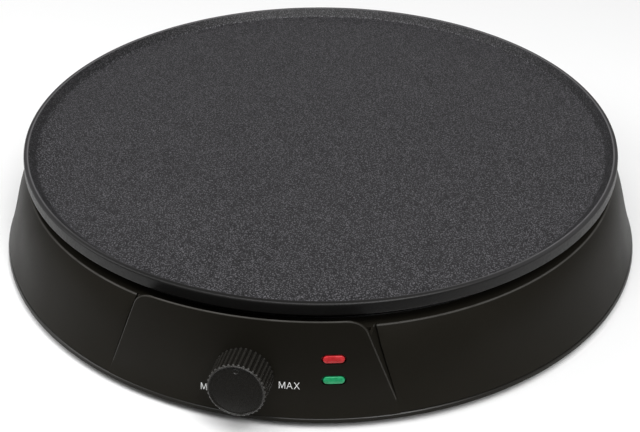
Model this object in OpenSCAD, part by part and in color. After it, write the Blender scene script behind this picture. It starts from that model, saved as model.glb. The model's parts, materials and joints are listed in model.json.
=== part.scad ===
// Electric crepe maker: a low round plastic housing with a proud control panel,
// a rimmed non-stick cast plate on top, and a bimetal thermostat behind the knob.
// Origin: the plate's axis where it meets the worktop. The control panel faces -Y.

/* [Cooking plate] */
// Diameter of the flat cooking surface
cook_d = 299; // [290:1:300]
// Height of the raised rim above the cooking surface
rim_rise = 4.3; // [3:0.1:6]
// Thickness of the casting under the cooking surface
plate_t = 4.0; // [3.6:0.1:4.4]
// Radius on the centre line of the tubular heating element
element_ring_r = 100; // [97:0.5:101]
// Diameter of the heating element's tube
element_d = 7.0; // [6:0.1:7.2]

/* [Housing] */
// Radius of the housing at its bottom edge
base_r = 170.9; // [170.5:0.1:172]
// Radius of the housing at its top edge
top_r = 155.5; // [155:0.1:156]
// Height of the housing's top edge above the housing's bottom
shell_h = 41.4; // [41:0.1:42]
// Wall thickness of the mouldings
wall_t = 2.5; // [2.2:0.1:2.7]
// Height of the rubber feet
foot_h = 3.5; // [3:0.1:5]

/* [Control panel] */
// Lean of the panel from vertical, in degrees
panel_tilt = 7.3; // [7:0.1:7.6]
// Radius of the panel's outer face at the housing's bottom
panel_base_r = 169.3; // [169:0.1:169.6]
// Height of the panel's top edge above the housing's bottom
panel_h = 50.3; // [48:0.1:52]
// Radius of the panel's two upper corners
panel_corner_r = 8.5; // [5:0.5:8.5]

/* [Temperature knob] */
// Diameter of the knob where it meets the panel
knob_d = 26.8; // [24:0.2:28]
// How far the knob's face stands out of the panel
knob_depth = 13.9; // [12:0.1:15]
// Height of the knob's axis above the housing's bottom, at the panel
knob_z = 22.4; // [22:0.1:23]
// Number of grip grooves round the knob
knob_grooves = 36; // [30:1:48]

/* [Indicator lenses] */
// Length of a lens
lens_l = 9.4; // [8:0.1:10]
// Width of a lens
lens_w = 3.6; // [3.2:0.1:4.6]
// Angle from the knob to the lenses, seen from above, in degrees
lens_az = 13.5; // [12.5:0.1:14]

/* [Cord inlet] */
// Bore of the cord gland
gland_bore_d = 7.2; // [6:0.1:8]

/* [Hidden] */
$fn = 96;
eps = 0.01;

f = foot_h;                              // housing bottom above the worktop
slope = (base_r - top_r) / shell_h;      // housing wall, radius lost per mm of height
cone_k = sqrt(1 + slope * slope);
shell_z0 = f + 2.4;                      // bottom edge of the shell, above the base plate's rim
shell_z1 = f + shell_h;                  // top edge of the shell
ledge_z0 = shell_z1 - wall_t;            // underside of the shell's top ledge
ledge_r = 138;                           // opening inside the ledge
cook_r = cook_d / 2;
surf_z = f + 50.3;                       // cooking surface
crest_z = surf_z + rim_rise;             // top of the rim
rim_low_z = f + 49.1;                    // lower edge of the rim's outer wall
under_z = surf_z - plate_t;              // underside of the plate
elem_z = under_z - 5.2;                  // centre of the element's tube
elem_r = element_d / 2;
bend_r = 7;                              // bend at the element's ends
shield_z = elem_z - 9.2;                 // underside of the heat shield's floor
shield_t = 0.6;
panel_slope = tan(panel_tilt);
panel_top = f + panel_h;
knob_r = knob_d / 2;
lens_mid_z = f + 26.5;                   // halfway between the two lenses
lens_off = 5.34;                         // each lens from there, along the panel
lip_t = 1.0;                              // thickness of the panel's wall at its top edge
corner_r = min(panel_corner_r, panel_h - shell_h - 0.3); // the corner arcs end above the skirt's top edge
gland_z = 17;
gland_y = 162.5;                         // flat face of the rear pocket

function cone_r(z) = base_r - slope * (z - f);
function panel_r(z) = panel_base_r - panel_slope * (z - f);
// half width of the panel at a height: its sides lean in towards the top
function panel_w(z) = 69.0 - 0.38 * (z - f);
function polar(r, a) = [r * cos(a), r * sin(a)];

// ---- placing ----
// frame on the panel's face: local Z points out of it, local Y up it, local X to the right
module at_panel(az, z) rotate([0, 0, az]) translate([0, -panel_r(z), z]) rotate([90 - panel_tilt, 0, 0]) children();
module on_axis() at_panel(0, f + knob_z) children();
module lens_frame() at_panel(lens_az, lens_mid_z) children();
module ring_of(r, angles) for (a = angles) rotate([0, 0, a]) translate([r, 0, 0]) children();

// ---- small shapes ----
module pill(l, w, h) {
  translate([-(l - w) / 2, -w / 2, 0]) cube([l - w, w, h]);
  for (s = [-1, 1]) translate([s * (l - w) / 2, 0, 0]) cylinder(h = h, r = w / 2);
}
module block(x0, x1, y0, y1, z0, z1) translate([x0, y0, z0]) cube([x1 - x0, y1 - y0, z1 - z0]);
// pan-head screw pointing up, head's underside at z = 0
module screw_up(r, len, head_r, head_h) {
  difference() {
    translate([0, 0, -head_h]) cylinder(h = head_h, r = head_r);
    for (a = [0, 90]) rotate([0, 0, a]) block(-head_r * 0.62, head_r * 0.62, -0.4, 0.4, -head_h - eps, -head_h * 0.45);
  }
  translate([0, 0, -eps]) cylinder(h = len, r = r);
}
// upright prism with the panel's outline, shrunk by t on the sides
module panel_prism(t, z0, z1, rc) {
  k = sqrt(1 + 0.38 * 0.38);
  zc = z1 - rc;
  xc = panel_w(zc) - (rc + t) * k;
  translate([0, -120, 0]) rotate([90, 0, 0]) {
    linear_extrude(height = 60) polygon([
      [-(panel_w(z0) - t * k), z0], [panel_w(z0) - t * k, z0],
      [xc + rc / k, zc + rc * 0.38 / k], [xc, z1],
      [-xc, z1], [-(xc + rc / k), zc + rc * 0.38 / k]]);
    for (s = [-1, 1]) translate([s * xc, zc, 0]) cylinder(h = 60, r = rc);
  }
}

// ---- round wires: a smooth curve through hand-set points, swept as a tube ----
function vnorm(v) = v / norm(v);
function cr(p0, p1, p2, p3, t) = 0.5 * ((2 * p1) + (p2 - p0) * t
  + (2 * p0 - 5 * p1 + 4 * p2 - p3) * t * t + (3 * p1 - p0 - 3 * p2 + p3) * t * t * t);
function curve(p, n) = let (m = len(p) - 1) concat(
  [for (i = [0 : m - 1], j = [0 : n - 1])
    cr(p[max(i - 1, 0)], p[i], p[i + 1], p[min(i + 2, m)], j / n)], [p[m]]);
module wire(p, r, n = 3, sides = 8) {
  c = curve(p, n);
  m = len(c);
  ref = vnorm([0.61, 0.31, 0.73]);
  pts = [for (i = [0 : m - 1])
    let (t = vnorm(c[min(i + 1, m - 1)] - c[max(i - 1, 0)]), u = vnorm(cross(t, ref)), v = cross(t, u))
    for (j = [0 : sides - 1]) c[i] + r * (cos(360 * j / sides) * u + sin(360 * j / sides) * v)];
  faces = concat(
    [[for (j = [0 : sides - 1]) j]],
    [for (i = [0 : m - 2], j = [0 : sides - 1], k = [0, 1])
      let (a = i * sides + j, b = i * sides + (j + 1) % sides, c = a + sides, d = b + sides) k ? [a, c, d] : [a, d, b]],
    [[for (j = [sides - 1 : -1 : 0]) (m - 1) * sides + j]]);
  polyhedron(points = pts, faces = faces, convexity = 6);
}

// ---- cooking plate ----
clip_angles = [90, 210, 330];
post_angles = [35, 145, 215, 325];
earth_at = [42, 114];
module baking_plate() color([0.25, 0.25, 0.26]) {
  crest_r = cook_r + 5.1;
  outer_r = cook_r + 6.7;
  difference() {
    union() {
      rotate_extrude($fn = 256) polygon(concat(
        [[0, under_z], [cook_r - 3.5, under_z], [cook_r - 1, under_z + 0.6], [outer_r - 2.2, rim_low_z - 0.9],
         [outer_r - 0.9, rim_low_z - 0.7], [outer_r - 0.2, rim_low_z - 0.2], [outer_r, rim_low_z + 0.3]],
        [for (a = [0 : 22.5 : 157.5]) [crest_r + 1.2 * cos(a), crest_z - 1.2 + 1.2 * sin(a)]],
        [[cook_r + 0.7, surf_z + 0.6], [cook_r + 0.25, surf_z + 0.15], [cook_r - 0.6, surf_z], [0, surf_z]]));
      // cast ring that carries the element, and the fixing bosses
      translate([0, 0, elem_z]) difference() {
        cylinder(h = under_z - elem_z + eps, r = element_ring_r + 6);
        translate([0, 0, -1]) cylinder(h = 20, r = element_ring_r - 6);
      }
      ring_of(143.5, post_angles) translate([0, 0, under_z - 3.3]) cylinder(h = 3.3 + eps, r = 5);
      ring_of(115, clip_angles) translate([0, 0, under_z - 3.3]) cylinder(h = 3.3 + eps, r = 5);
      translate([earth_at.x, earth_at.y, under_z - 3.3]) cylinder(h = 3.3 + eps, r = 5);
      block(-10, 18, -127, -107.5, under_z - 2, under_z + eps);
    }
    translate([0, 0, elem_z]) rotate_extrude() translate([element_ring_r, 0]) circle(r = elem_r + 0.05);
    ring_of(143.5, post_angles) translate([0, 0, under_z - 4]) cylinder(h = 6.2, r = 2.02);
    ring_of(115, clip_angles) translate([0, 0, under_z - 4]) cylinder(h = 6.2, r = 1.77);
    translate([earth_at.x, earth_at.y, under_z - 4]) cylinder(h = 6.2, r = 2.02);
    for (x = [-3, 11]) translate([x, -117, under_z - 3]) cylinder(h = 5.2, r = 1.77);
  }
}

module heating_element() color([0.42, 0.40, 0.38]) {
  translate([0, 0, elem_z]) {
    rotate_extrude(angle = 330, start = -75) translate([element_ring_r, 0]) circle(r = elem_r);
    // both ends turn down in an easy bend
    for (s = [-1, 1]) rotate([0, 0, -90 + 15 * s]) translate([element_ring_r, 0, -bend_r]) {
      rotate([0, -90, 0]) rotate([s > 0 ? 180 : 0, 0, 0]) rotate_extrude(angle = 90) translate([bend_r, 0]) circle(r = elem_r);
      translate([0, -s * bend_r, bend_r - 13.6]) cylinder(h = 13.6 - bend_r, r = elem_r);
    }
  }
}
module at_ends() for (s = [-1, 1]) rotate([0, 0, -90 + 15 * s]) translate([element_ring_r, -s * bend_r, 0]) children();
module element_seals() color([0.93, 0.92, 0.88]) at_ends()
  translate([0, 0, elem_z - 17.2]) difference() {
    union() { cylinder(h = 3.6 - eps, r = 2.9); cylinder(h = 1.2, r = 3.3); }
    translate([0, 0, -1]) cylinder(h = 6, r = 1.25);
  }
module element_pins() color([0.75, 0.75, 0.76]) at_ends()
  translate([0, 0, elem_z - 26]) {
    translate([0, 0, 5.8]) cylinder(h = 6.5, r = 1.2);
    block(-0.4, 0.4, -3.15, 3.15, -1, 7.5);
  }
module element_clips() color([0.72, 0.73, 0.74]) for (a = clip_angles) rotate([0, 0, a]) difference() {
  union() {
    block(element_ring_r - 6, element_ring_r + 9.5, -4, 4, elem_z - elem_r - 0.8, elem_z - elem_r);
    block(element_ring_r + 8.7, element_ring_r + 9.5, -4, 4, elem_z - elem_r - 0.8, under_z - 3.3);
    block(element_ring_r + 8.7, element_ring_r + 20, -4, 4, under_z - 4.1, under_z - 3.3);
  }
  translate([115, 0, under_z - 6]) cylinder(h = 4, r = 1.95);
}
module element_clip_screws() color([0.70, 0.70, 0.72])
  ring_of(115, clip_angles) translate([0, 0, under_z - 4.1]) screw_up(1.75, 5.4, 3.2, 2.0);

module heat_shield() color([0.66, 0.67, 0.68]) difference() {
  rotate_extrude($fn = 192) polygon([
    [0, shield_z], [134.6, shield_z], [136, shield_z + 1.4], [136, shell_z1 + eps], [148.5, shell_z1 + eps],
    [148.5, shell_z1 + shield_t], [135.4, shell_z1 + shield_t], [135.4, shield_z + 1.7],
    [134.3, shield_z + shield_t], [0, shield_z + shield_t]]);
  ring_of(143.5, post_angles) translate([0, 0, shell_z1 - 2]) cylinder(h = 5, r = 2.4);
  at_ends() translate([0, 0, shield_z - 2]) cylinder(h = 5, r = 5.5);
  translate([earth_at.x, earth_at.y + 4, shield_z - 2]) cylinder(h = 5, r = 8.5);
  block(-11, 19, -131.5, -125, shield_z - 2, shield_z + 3);
  translate([-60, -88, shield_z - 2]) cylinder(h = 5, r = 1.3);
}
module heat_washers() color([0.90, 0.88, 0.82]) ring_of(143.5, post_angles)
  translate([0, 0, shell_z1 + shield_t + eps]) difference() {
    cylinder(h = under_z - 3.3 - shell_z1 - shield_t - 2 * eps, r = 5);
    translate([0, 0, -1]) cylinder(h = 6, r = 2.2);
  }
module plate_screws() color([0.70, 0.70, 0.72])
  ring_of(143.5, post_angles) translate([0, 0, ledge_z0]) screw_up(2, under_z - ledge_z0 + 1.6, 3.9, 2.4);

// ---- housing ----
screw_angles = [0, 60, 120, 180, 240, 300];
module housing_shell() color([0.11, 0.11, 0.11]) difference() {
  union() {
    difference() {
      union() {
        // tapered skirt with a small round along its top edge
        rotate_extrude($fn = 256) polygon(concat(
          [[ledge_r, shell_z0], [cone_r(shell_z0), shell_z0]],
          [for (a = [-8 : 19.6 : 90]) [top_r - 0.9 + 0.9 * cos(a), shell_z1 - 0.9 + 0.9 * sin(a)]],
          [[ledge_r, shell_z1]]));
        // proud control panel
        intersection() {
          panel_prism(0, shell_z0, panel_top, corner_r);
          rotate_extrude($fn = 256) polygon([[ledge_r, shell_z0], [panel_r(shell_z0), shell_z0],
            [panel_r(panel_top - 0.6), panel_top - 0.6], [panel_r(panel_top) - 0.2, panel_top - 0.15],
            [panel_r(panel_top) - 0.6, panel_top], [ledge_r, panel_top]]);
        }
      }
      // hollow of the skirt below the ledge
      rotate_extrude($fn = 256) polygon([[100, shell_z0 - 1], [cone_r(shell_z0 - 1) - wall_t * cone_k, shell_z0 - 1],
        [cone_r(ledge_z0) - wall_t * cone_k, ledge_z0], [100, ledge_z0]]);
      // hollow of the panel below the ledge
      intersection() {
        panel_prism(wall_t, shell_z0 - 4, panel_top + wall_t, corner_r);
        rotate_extrude($fn = 256) polygon([[100, shell_z0 - 1], [panel_r(shell_z0 - 1) - wall_t, shell_z0 - 1],
          [panel_r(ledge_z0) - wall_t, ledge_z0], [100, ledge_z0]]);
      }
      // above the ledge the panel thins to a lip
      translate([0, 0, shell_z1]) cylinder(h = 20, r = panel_r(panel_top) - lip_t, $fn = 256);
    }
    // screw pillars with a web to the wall
    intersection() {
      union() {
        ring_of(157, screw_angles) translate([0, 0, f + 5.6]) cylinder(h = 17.5, r = 4);
        ring_of(157, screw_angles) block(2, 14, -0.9, 0.9, f + 7, f + 23);
      }
      cylinder(h = 60, r1 = cone_r(0) - 1, r2 = cone_r(60) - 1, $fn = 256);
    }
    // pocket for the cord gland, standing in from the wall
    intersection() {
      block(-14.5, 14.5, gland_y - wall_t, 172, shell_z0, f + 26);
      cylinder(h = 60, r1 = cone_r(0), r2 = cone_r(60), $fn = 256);
    }
  }
  block(-12, 12, gland_y, 176, f + 5, f + 30);
  translate([0, gland_y + 2, gland_z]) rotate([90, 0, 0]) cylinder(h = 8, r = 6.1);
  ring_of(157, screw_angles) translate([0, 0, f]) cylinder(h = 19, r = 1.8);
  ring_of(143.5, post_angles) translate([0, 0, ledge_z0 - 1]) cylinder(h = 5, r = 2.4);
  on_axis() translate([0, 0, -wall_t - 2]) cylinder(h = 8, r = 4.2);
  lens_frame() for (s = [-1, 1]) translate([0, s * lens_off, 0]) {
    translate([0, 0, -0.7]) pill(lens_l + 1.4, lens_w + 1.4, 3);
    translate([0, 0, -wall_t - 2]) pill(lens_l + 0.1, lens_w + 0.1, 5);
  }
}

module base_plate() color([0.10, 0.10, 0.10]) difference() {
  union() {
    rotate_extrude($fn = 256) polygon([[0, f], [base_r - 0.35, f], [base_r, f + 0.4], [cone_r(f + 1.7), f + 1.7],
      [cone_r(f + 2) - 0.35, f + 2], [169.2, f + 2], [169.2, f + 2.39], [165.6, f + 2.39], [165.2, f + 6], [163.6, f + 6],
      [163.6, f + 2], [127.5, f + 2], [127.5, f + 4], [126, f + 4], [126, f + 2], [57.5, f + 2], [57.5, f + 4], [56, f + 4],
      [56, f + 2], [0, f + 2]]);
    ring_of(157, screw_angles) translate([0, 0, f]) cylinder(h = 5.5, r = 6);
    block(-17, 17, 129, 147, f + 1, f + 4);
    // posts that keep the leads on their way round the floor
    for (a = [150, 180, 210, 330, 0, 30]) rotate([0, 0, a]) for (r = [113, 121]) translate([r, 0, f + 1]) cylinder(h = 9, r = 1.5);
  }
  ring_of(157, screw_angles) translate([0, 0, f - 1]) { cylinder(h = 4.4, r = 4.2); cylinder(h = 9, r = 2.1); }
  ring_of(150, [45, 135, 225, 315]) translate([0, 0, f - 1]) cylinder(h = 5, r = 3);
  block(-15.5, 15.5, 158, 167, f + 2.39, f + 8);
  for (a = [0 : 15 : 345]) rotate([0, 0, a + 7.5]) translate([84, 0, f - 1]) { block(-13, 13, -1.5, 1.5, 0, 4); for (s = [-1, 1]) translate([13 * s, 0, 0]) cylinder(h = 4, r = 1.5); }
}
module base_screws() color([0.35, 0.35, 0.36])
  ring_of(157, screw_angles) translate([0, 0, f + 3.4]) screw_up(1.75, 13.5, 3.7, 2.2);
module rubber_feet() color([0.07, 0.07, 0.07]) ring_of(150, [45, 135, 225, 315]) rotate_extrude()
  polygon([[0, 0], [8.2, 0], [9, 0.8], [9, f - 0.6], [8.6, f - eps], [2.9, f - eps], [2.9, f + 2.1], [3.9, f + 2.3], [3.4, f + 3.6], [2, f + 4.4], [0, f + 4.4]]);
module cord_gland() color([0.09, 0.09, 0.09]) translate([0, gland_y, gland_z]) rotate([-90, 0, 0]) rotate_extrude()
  polygon([[gland_bore_d / 2, -6.6], [6.3, -6.6], [7, -wall_t - 0.1], [6, -wall_t - 0.1], [6, eps], [7.4, eps], [7.4, 1.2], [6.4, 2.2], [gland_bore_d / 2, 2.2]]);

// ---- knob and thermostat, on the knob's axis ----
module temperature_knob() color([0.12, 0.12, 0.12]) on_axis() difference() {
  face_r = knob_r - 0.6;
  rotate_extrude($fn = 128) polygon([[0, 0.6], [knob_r, 0.6], [face_r, knob_depth - 0.7], [face_r - 0.15, knob_depth - 0.2],
    [face_r - 0.6, knob_depth], [face_r - 1.1, knob_depth - 0.05], [face_r - 1.5, knob_depth - 0.4], [0, knob_depth - 0.4]]);
  // hollow underside round the hub
  difference() {
    translate([0, 0, 0]) cylinder(h = knob_depth - 3.4, r = knob_r - 2.2);
    cylinder(h = 20, r = 6);
  }
  translate([0, 0, 0]) difference() {
    cylinder(h = 10.2, r = 3.03);
    block(-4, 4, 2.03, 5, -1, 12);
  }
  for (i = [0 : knob_grooves - 1]) rotate([0, 0, 360 * i / knob_grooves]) translate([knob_r + 0.12, 0, 0.6])
    rotate([0, -atan(0.6 / (knob_depth - 1.3)), 0]) translate([0, 0, 0.8]) cylinder(h = knob_depth, r = 0.55, $fn = 16);
  // index dimple at twelve o'clock
  translate([0, face_r - 3, knob_depth + 0.7]) sphere(r = 1.6);
}
module thermostat_shaft() color([0.78, 0.78, 0.80]) on_axis() difference() {
  union() {
    translate([0, 0, -38.2]) cylinder(h = 48, r = 3);
    translate([0, 0, -38.2]) cylinder(h = 0.7, r = 3.8);
  }
  block(-4, 4, 2, 5, -8, 11);
  translate([0, 0, -39]) cylinder(h = 2.6, r = 2.1);
}
module shaft_clip() color([0.55, 0.55, 0.57]) on_axis() translate([0, 0, -26.7]) difference() {
  cylinder(h = 0.8, r = 5.2);
  translate([0, 0, -1]) cylinder(h = 3, r = 3.01);
  block(-1.9, 1.9, -6, 0, -1, 2);
}
module thermostat_bush() color([0.80, 0.65, 0.32]) on_axis() difference() {
  union() {
    translate([0, 0, -37.2]) cylinder(h = 1.3, r = 4);
    translate([0, 0, -36 + eps]) cylinder(h = 2, r = 7, $fn = 6);
    translate([0, 0, -34.1]) cylinder(h = 7.1, r = 4.8);
  }
  translate([0, 0, -40]) cylinder(h = 20, r = 3.05);
}
foot_z = under_z - 2;                    // the bracket's foot lies under the plate's pad
module thermostat_bracket() color([0.74, 0.75, 0.76]) difference() {
  union() {
    on_axis() block(-9, 17, -8, (foot_z - f - knob_z - 0.05 + 37.2 * sin(panel_tilt)) / cos(panel_tilt) - 0.3, -37.2, -36);
    block(-9, 17, -128.2, -108.5, foot_z - 1.2, foot_z - eps);
  }
  on_axis() translate([0, 0, -40]) cylinder(h = 8, r = 4.03);
  on_axis() translate([12, 0, -40]) cylinder(h = 8, r = 1.65);
  for (x = [-3, 11]) translate([x, -117, foot_z - 3]) cylinder(h = 5, r = 1.95);
}
module thermostat_screws() color([0.70, 0.70, 0.72])
  for (x = [-3, 11]) translate([x, -117, foot_z - 1.2]) screw_up(1.75, 5.2, 3.2, 2.0);
// insulator washers, blades and rivet: a column beside the shaft's end
module stack_insulators() color([0.94, 0.93, 0.89]) on_axis() translate([12, 0, 0])
  for (z = [[-43, -37.2], [-46.4, -43.8], [-50.2, -46.8]]) difference() {
    translate([0, 0, z[0] + eps]) cylinder(h = z[1] - z[0] - 2 * eps, r = 4.6);
    translate([0, 0, z[0] - 1]) cylinder(h = 10, r = 1.65);
  }
module stack_rivet() color([0.72, 0.72, 0.74]) on_axis() translate([12, 0, 0]) {
  translate([0, 0, -51.6]) cylinder(h = 16, r = 1.6);
  translate([0, 0, -52]) cylinder(h = 0.89, r = 3);
  translate([0, 0, -35.99]) cylinder(h = 0.8, r = 3);
}
module arm_terminal() color([0.80, 0.68, 0.36]) on_axis() difference() {
  union() { block(7.2, 17, -3.2, 3.2, -43.8, -43); block(15, 27, -0.2, 6.1, -43.8, -43); }
  translate([12, 0, -45]) cylinder(h = 4, r = 1.65);
}
module contact_arm() color([0.76, 0.60, 0.34]) on_axis() difference() {
  union() {
    block(-8, 7, -2.5, 2.5, -43.55, -43.25);
    translate([-6, 0, -44.3]) cylinder(h = 0.8, r = 1.5);
  }
  translate([0, 0, -45]) cylinder(h = 3, r = 0.73);
}
// ceramic pin riveted to the arm, standing in the socket of the shaft's end
module adjuster_pin() color([0.95, 0.94, 0.90]) on_axis() {
  translate([0, 0, -43.24]) cylinder(h = 5.9, r = 1.4);
  translate([0, 0, -37.35]) cylinder(h = 0.45, r1 = 1.4, r2 = 1.0);
  translate([0, 0, -43.9]) cylinder(h = 1, r = 0.7);
  translate([0, 0, -43.9]) cylinder(h = 0.34, r = 1.25);
}
module upper_contact_blade() color([0.78, 0.62, 0.35]) on_axis() difference() {
  union() {
    block(-12, 17, -2.5, 2.5, -46.8, -46.4);
    block(15, 27, -6.1, 0.2, -46.8, -46.4);
    translate([-6, 0, -46.5]) cylinder(h = 1.2, r = 1.5);
  }
  translate([12, 0, -48]) cylinder(h = 4, r = 1.65);
}
module bimetal_blade() color([0.62, 0.58, 0.50]) on_axis() difference() {
  block(-13, 17, -4, 4, -51.1, -50.2);
  translate([12, 0, -52]) cylinder(h = 4, r = 1.65);
}
module bimetal_pin() color([0.95, 0.94, 0.90]) on_axis()
  translate([-10.6, 0, -50.19]) cylinder(h = 3.35, r = 1.1);

// ---- safety cut-out under the shield ----
fuse_at = [-60, -96, shield_z - 2.9];
module thermal_fuse() color([0.75, 0.76, 0.78]) translate(fuse_at) rotate([0, 90, 0]) {
  translate([0, 0, -5.5]) cylinder(h = 11, r = 2);
  for (s = [-1, 1]) translate([0, 0, s * 7.05 - 1.65]) cylinder(h = 3.3, r = 0.5);
}
module fuse_clip() color([0.72, 0.73, 0.74]) difference() {
  union() {
    translate(fuse_at) rotate([0, 90, 0]) translate([0, 0, -3]) cylinder(h = 6, r = 2.85);
    block(-63, -57, -96, -83, shield_z - 0.7, shield_z - eps);
    translate([-60, -88, shield_z - 1.7]) cylinder(h = 3.4, r = 1.2);
    translate([-60, -88, shield_z - 1.7]) cylinder(h = 1.01, r = 2.4);
  }
  translate(fuse_at) rotate([0, 90, 0]) translate([0, 0, -9]) cylinder(h = 18, r = 2.05);
}

// ---- indicators ----
module lens_body() {
  translate([0, 0, -wall_t - 0.01]) pill(lens_l, lens_w, wall_t - 0.1);
  translate([0, 0, -0.35]) pill(lens_l - 0.3, lens_w - 0.3, 0.5);
  translate([0, 0, -0.35]) pill(lens_l - 0.9, lens_w - 0.9, 0.75);
  translate([0, 0, -wall_t - 1.15]) pill(lens_l + 2.6, lens_w + 2.6, 1);
  translate([0, 0, -wall_t - 0.2]) pill(lens_l - 0.05, lens_w - 0.05, 0.5);
}
module red_lens() color([0.84, 0.20, 0.22]) lens_frame() translate([0, lens_off, 0]) lens_body();
module green_lens() color([0.18, 0.66, 0.42]) lens_frame() translate([0, -lens_off, 0]) lens_body();
module lamp() {
  translate([0, 0, -14]) cylinder(h = 8, r = 2.6);
  translate([0, 0, -6]) sphere(r = 2.6);
  translate([0, 0, -15]) cylinder(h = 1.5, r = 1.8);
}
module red_lamp() color([0.95, 0.55, 0.35]) lens_frame() translate([0, lens_off, -0.6]) lamp();
module green_lamp() color([0.70, 0.85, 0.75]) lens_frame() translate([0, -lens_off, -0.6]) lamp();
module lamp_holder() color([0.85, 0.84, 0.80]) lens_frame() difference() {
  union() {
    block(-7.5, 7.5, -10.5, 10.5, -14.5, -3.7);
    for (s = [-1, 1]) block(s > 0 ? 7.4 : -9.2, s > 0 ? 9.2 : -7.4, -3.5, 3.5, -14.5, -wall_t - 0.3);
  }
  for (s = [-1, 1]) translate([0, s * lens_off, -20]) cylinder(h = 20, r = 2.7);
}
resistor_at = [[49, -123, f + 9], [60, -111, f + 9]];
module lamp_resistors() color([0.80, 0.70, 0.52]) for (p = resistor_at) translate(p) rotate([0, 0, 25]) {
  translate([-4.5, 0, 0]) rotate([0, 90, 0]) cylinder(h = 9, r = 1.7);
  for (s = [-1, 1]) translate([s * 4.2 - 0.9, 0, 0]) rotate([0, 90, 0]) cylinder(h = 1.8, r = 2.0);
}

// ---- mains side ----
module terminal_block() color([0.90, 0.89, 0.84]) difference() {
  union() {
    block(-15, 15, 131, 145, f + 4.01, f + 14);
    for (x = [-10, 0, 10]) translate([x, 138, f + 14 - eps]) block(-3.6, 3.6, -6, 6, 0, 3);
  }
  for (x = [-10, 0, 10]) {
    translate([x, 130, f + 9]) rotate([-90, 0, 0]) cylinder(h = 16, r = 1.6);
    for (y = [134.4, 141.6]) translate([x, y, f + 9]) cylinder(h = 10, r = 1.9);
  }
}
module terminal_screws() color([0.78, 0.70, 0.45])
  for (x = [-10, 0, 10], y = [134.4, 141.6]) translate([x, y, f + 10.7]) difference() {
    cylinder(h = 5, r = 1.85);
    block(-2, 2, -0.35, 0.35, 3.8, 6);
  }
module earth_screw() color([0.80, 0.68, 0.36])
  translate([earth_at.x, earth_at.y, under_z - 4.1]) screw_up(2, 5.6, 3.6, 2.2);
module earth_tab() color([0.78, 0.78, 0.79]) difference() {
  union() {
    translate([earth_at.x, earth_at.y, under_z - 4.1]) cylinder(h = 0.79, r = 4.5);
    block(earth_at.x - 2, earth_at.x + 2, earth_at.y + 3, earth_at.y + 9, under_z - 4.1, under_z - 3.31);
    translate([earth_at.x, earth_at.y + 7, under_z - 12]) cylinder(h = 8, r = 1.7);
  }
  translate([earth_at.x, earth_at.y, under_z - 6]) cylinder(h = 4, r = 2.1);
}
module push_on_connectors() color([0.82, 0.80, 0.74]) {
  on_axis() difference() {
    union() { block(19.5, 28.5, -1.2, 7.1, -44.9, -41.9); block(19.5, 28.5, -7.1, -1.25, -48.1, -45.1); }
    block(18, 27.2, -0.3, 6.2, -43.9, -42.9);
    block(18, 27.2, -6.2, 0.3, -46.9, -46.3);
  }
  at_ends() translate([0, 0, elem_z - 27.5]) difference() {
    block(-1.6, 1.6, -4, 4, -1, 7);
    block(-0.45, 0.45, -3.2, 3.2, 0.3, 9);
  }
}
// leads: from the block round the floor, up to the cut-out, the thermostat, the element and the lamps
end_r = norm([element_ring_r, bend_r]);
end_a = atan(bend_r / element_ring_r);
eL = polar(end_r, -105 + end_a);
eR = polar(end_r, -75 - end_a);
floor_z = f + 6.5;
live_pts = [[-10, 134, f + 9], [-10, 130, f + 9], [-10, 126, f + 8.6], [-24, 117, floor_z], [-60, 101, floor_z], [-98, 63, floor_z],
  [-116, 10, floor_z], [-116, -10, floor_z], [-108, -46, floor_z], [-92, -74, floor_z + 4], [-80, -90, floor_z + 14], [-74, -96, shield_z - 3.2], [-68.8, -96, shield_z - 2.9]];
live2_pts = [[-51.2, -96, shield_z - 2.9], [-46, -98, shield_z - 4], [-36, -112, f + 17], [-20, -124, f + 9], [4, -132, f + 7.5], [26, -130, f + 8], [37, -126, f + 10], [36.5, -121, f + 13], [29, -120.6, f + 13.3]];
neutral_pts = [[10, 134, f + 9], [10, 130, f + 9], [10, 126, f + 8.6], [24, 117, floor_z], [60, 101, floor_z], [98, 63, floor_z],
  [116, 10, floor_z], [116, -10, floor_z], [108, -44, floor_z], [86, -76, floor_z], [56, -92, floor_z - 1], [34, -96, floor_z - 1.4], [24, -97.5, floor_z + 0.4], [eR.x, eR.y, elem_z - 31.5], [eR.x, eR.y, elem_z - 28.9]];
heater_pts = [[28.8, -123, f + 19.9], [35, -122.6, f + 19.6], [41, -113, f + 14], [34, -106, f + 6.5], [14, -108, f + 4.8], [-10, -106, f + 4.8], [-18.6, -101, f + 5.8], [eL.x, eL.y, elem_z - 31.5], [eL.x, eL.y, elem_z - 28.9]];
earth_pts = [[0, 134, f + 9], [0, 129, f + 9], [1, 122, f + 8.6], [10, 112, f + 9], [28, 110, f + 13], [40, 116, f + 20], [42, 121, f + 27], [42, 121, under_z - 12.2]];
module wire_live() color([0.42, 0.25, 0.15]) { wire(live_pts, 1.3); wire(live2_pts, 1.3); }
module wire_neutral() color([0.16, 0.28, 0.62]) wire(neutral_pts, 1.3);
module wire_heater() color([0.90, 0.89, 0.86]) wire(heater_pts, 1.3);
module wire_earth() color([0.45, 0.62, 0.20]) wire(earth_pts, 1.3);
lampA = [[34.6, -145.4, f + 29.8], [37, -141.5, f + 28], [43, -136, f + 20], [44, -130, f + 12], [42.4, -127.4, f + 9.4], [44.2, -125.2, f + 9]];
lampB = [[34.8, -146.2, f + 19.1], [40, -142.5, f + 17.5], [52, -134, f + 16], [60, -125, f + 16], [57, -117, f + 14], [52.6, -114.6, f + 10], [55.2, -113.2, f + 9]];
lampC = [[53.8, -120.8, f + 9], [64, -118, f + 8.4], [78, -100, f + 8.4], [92, -80, f + 8.8], [101, -62, f + 10]];
lampD = [[64.8, -108.8, f + 9], [70, -105, f + 8.6], [76, -94, f + 9.2], [82, -84, f + 9.6]];
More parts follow.
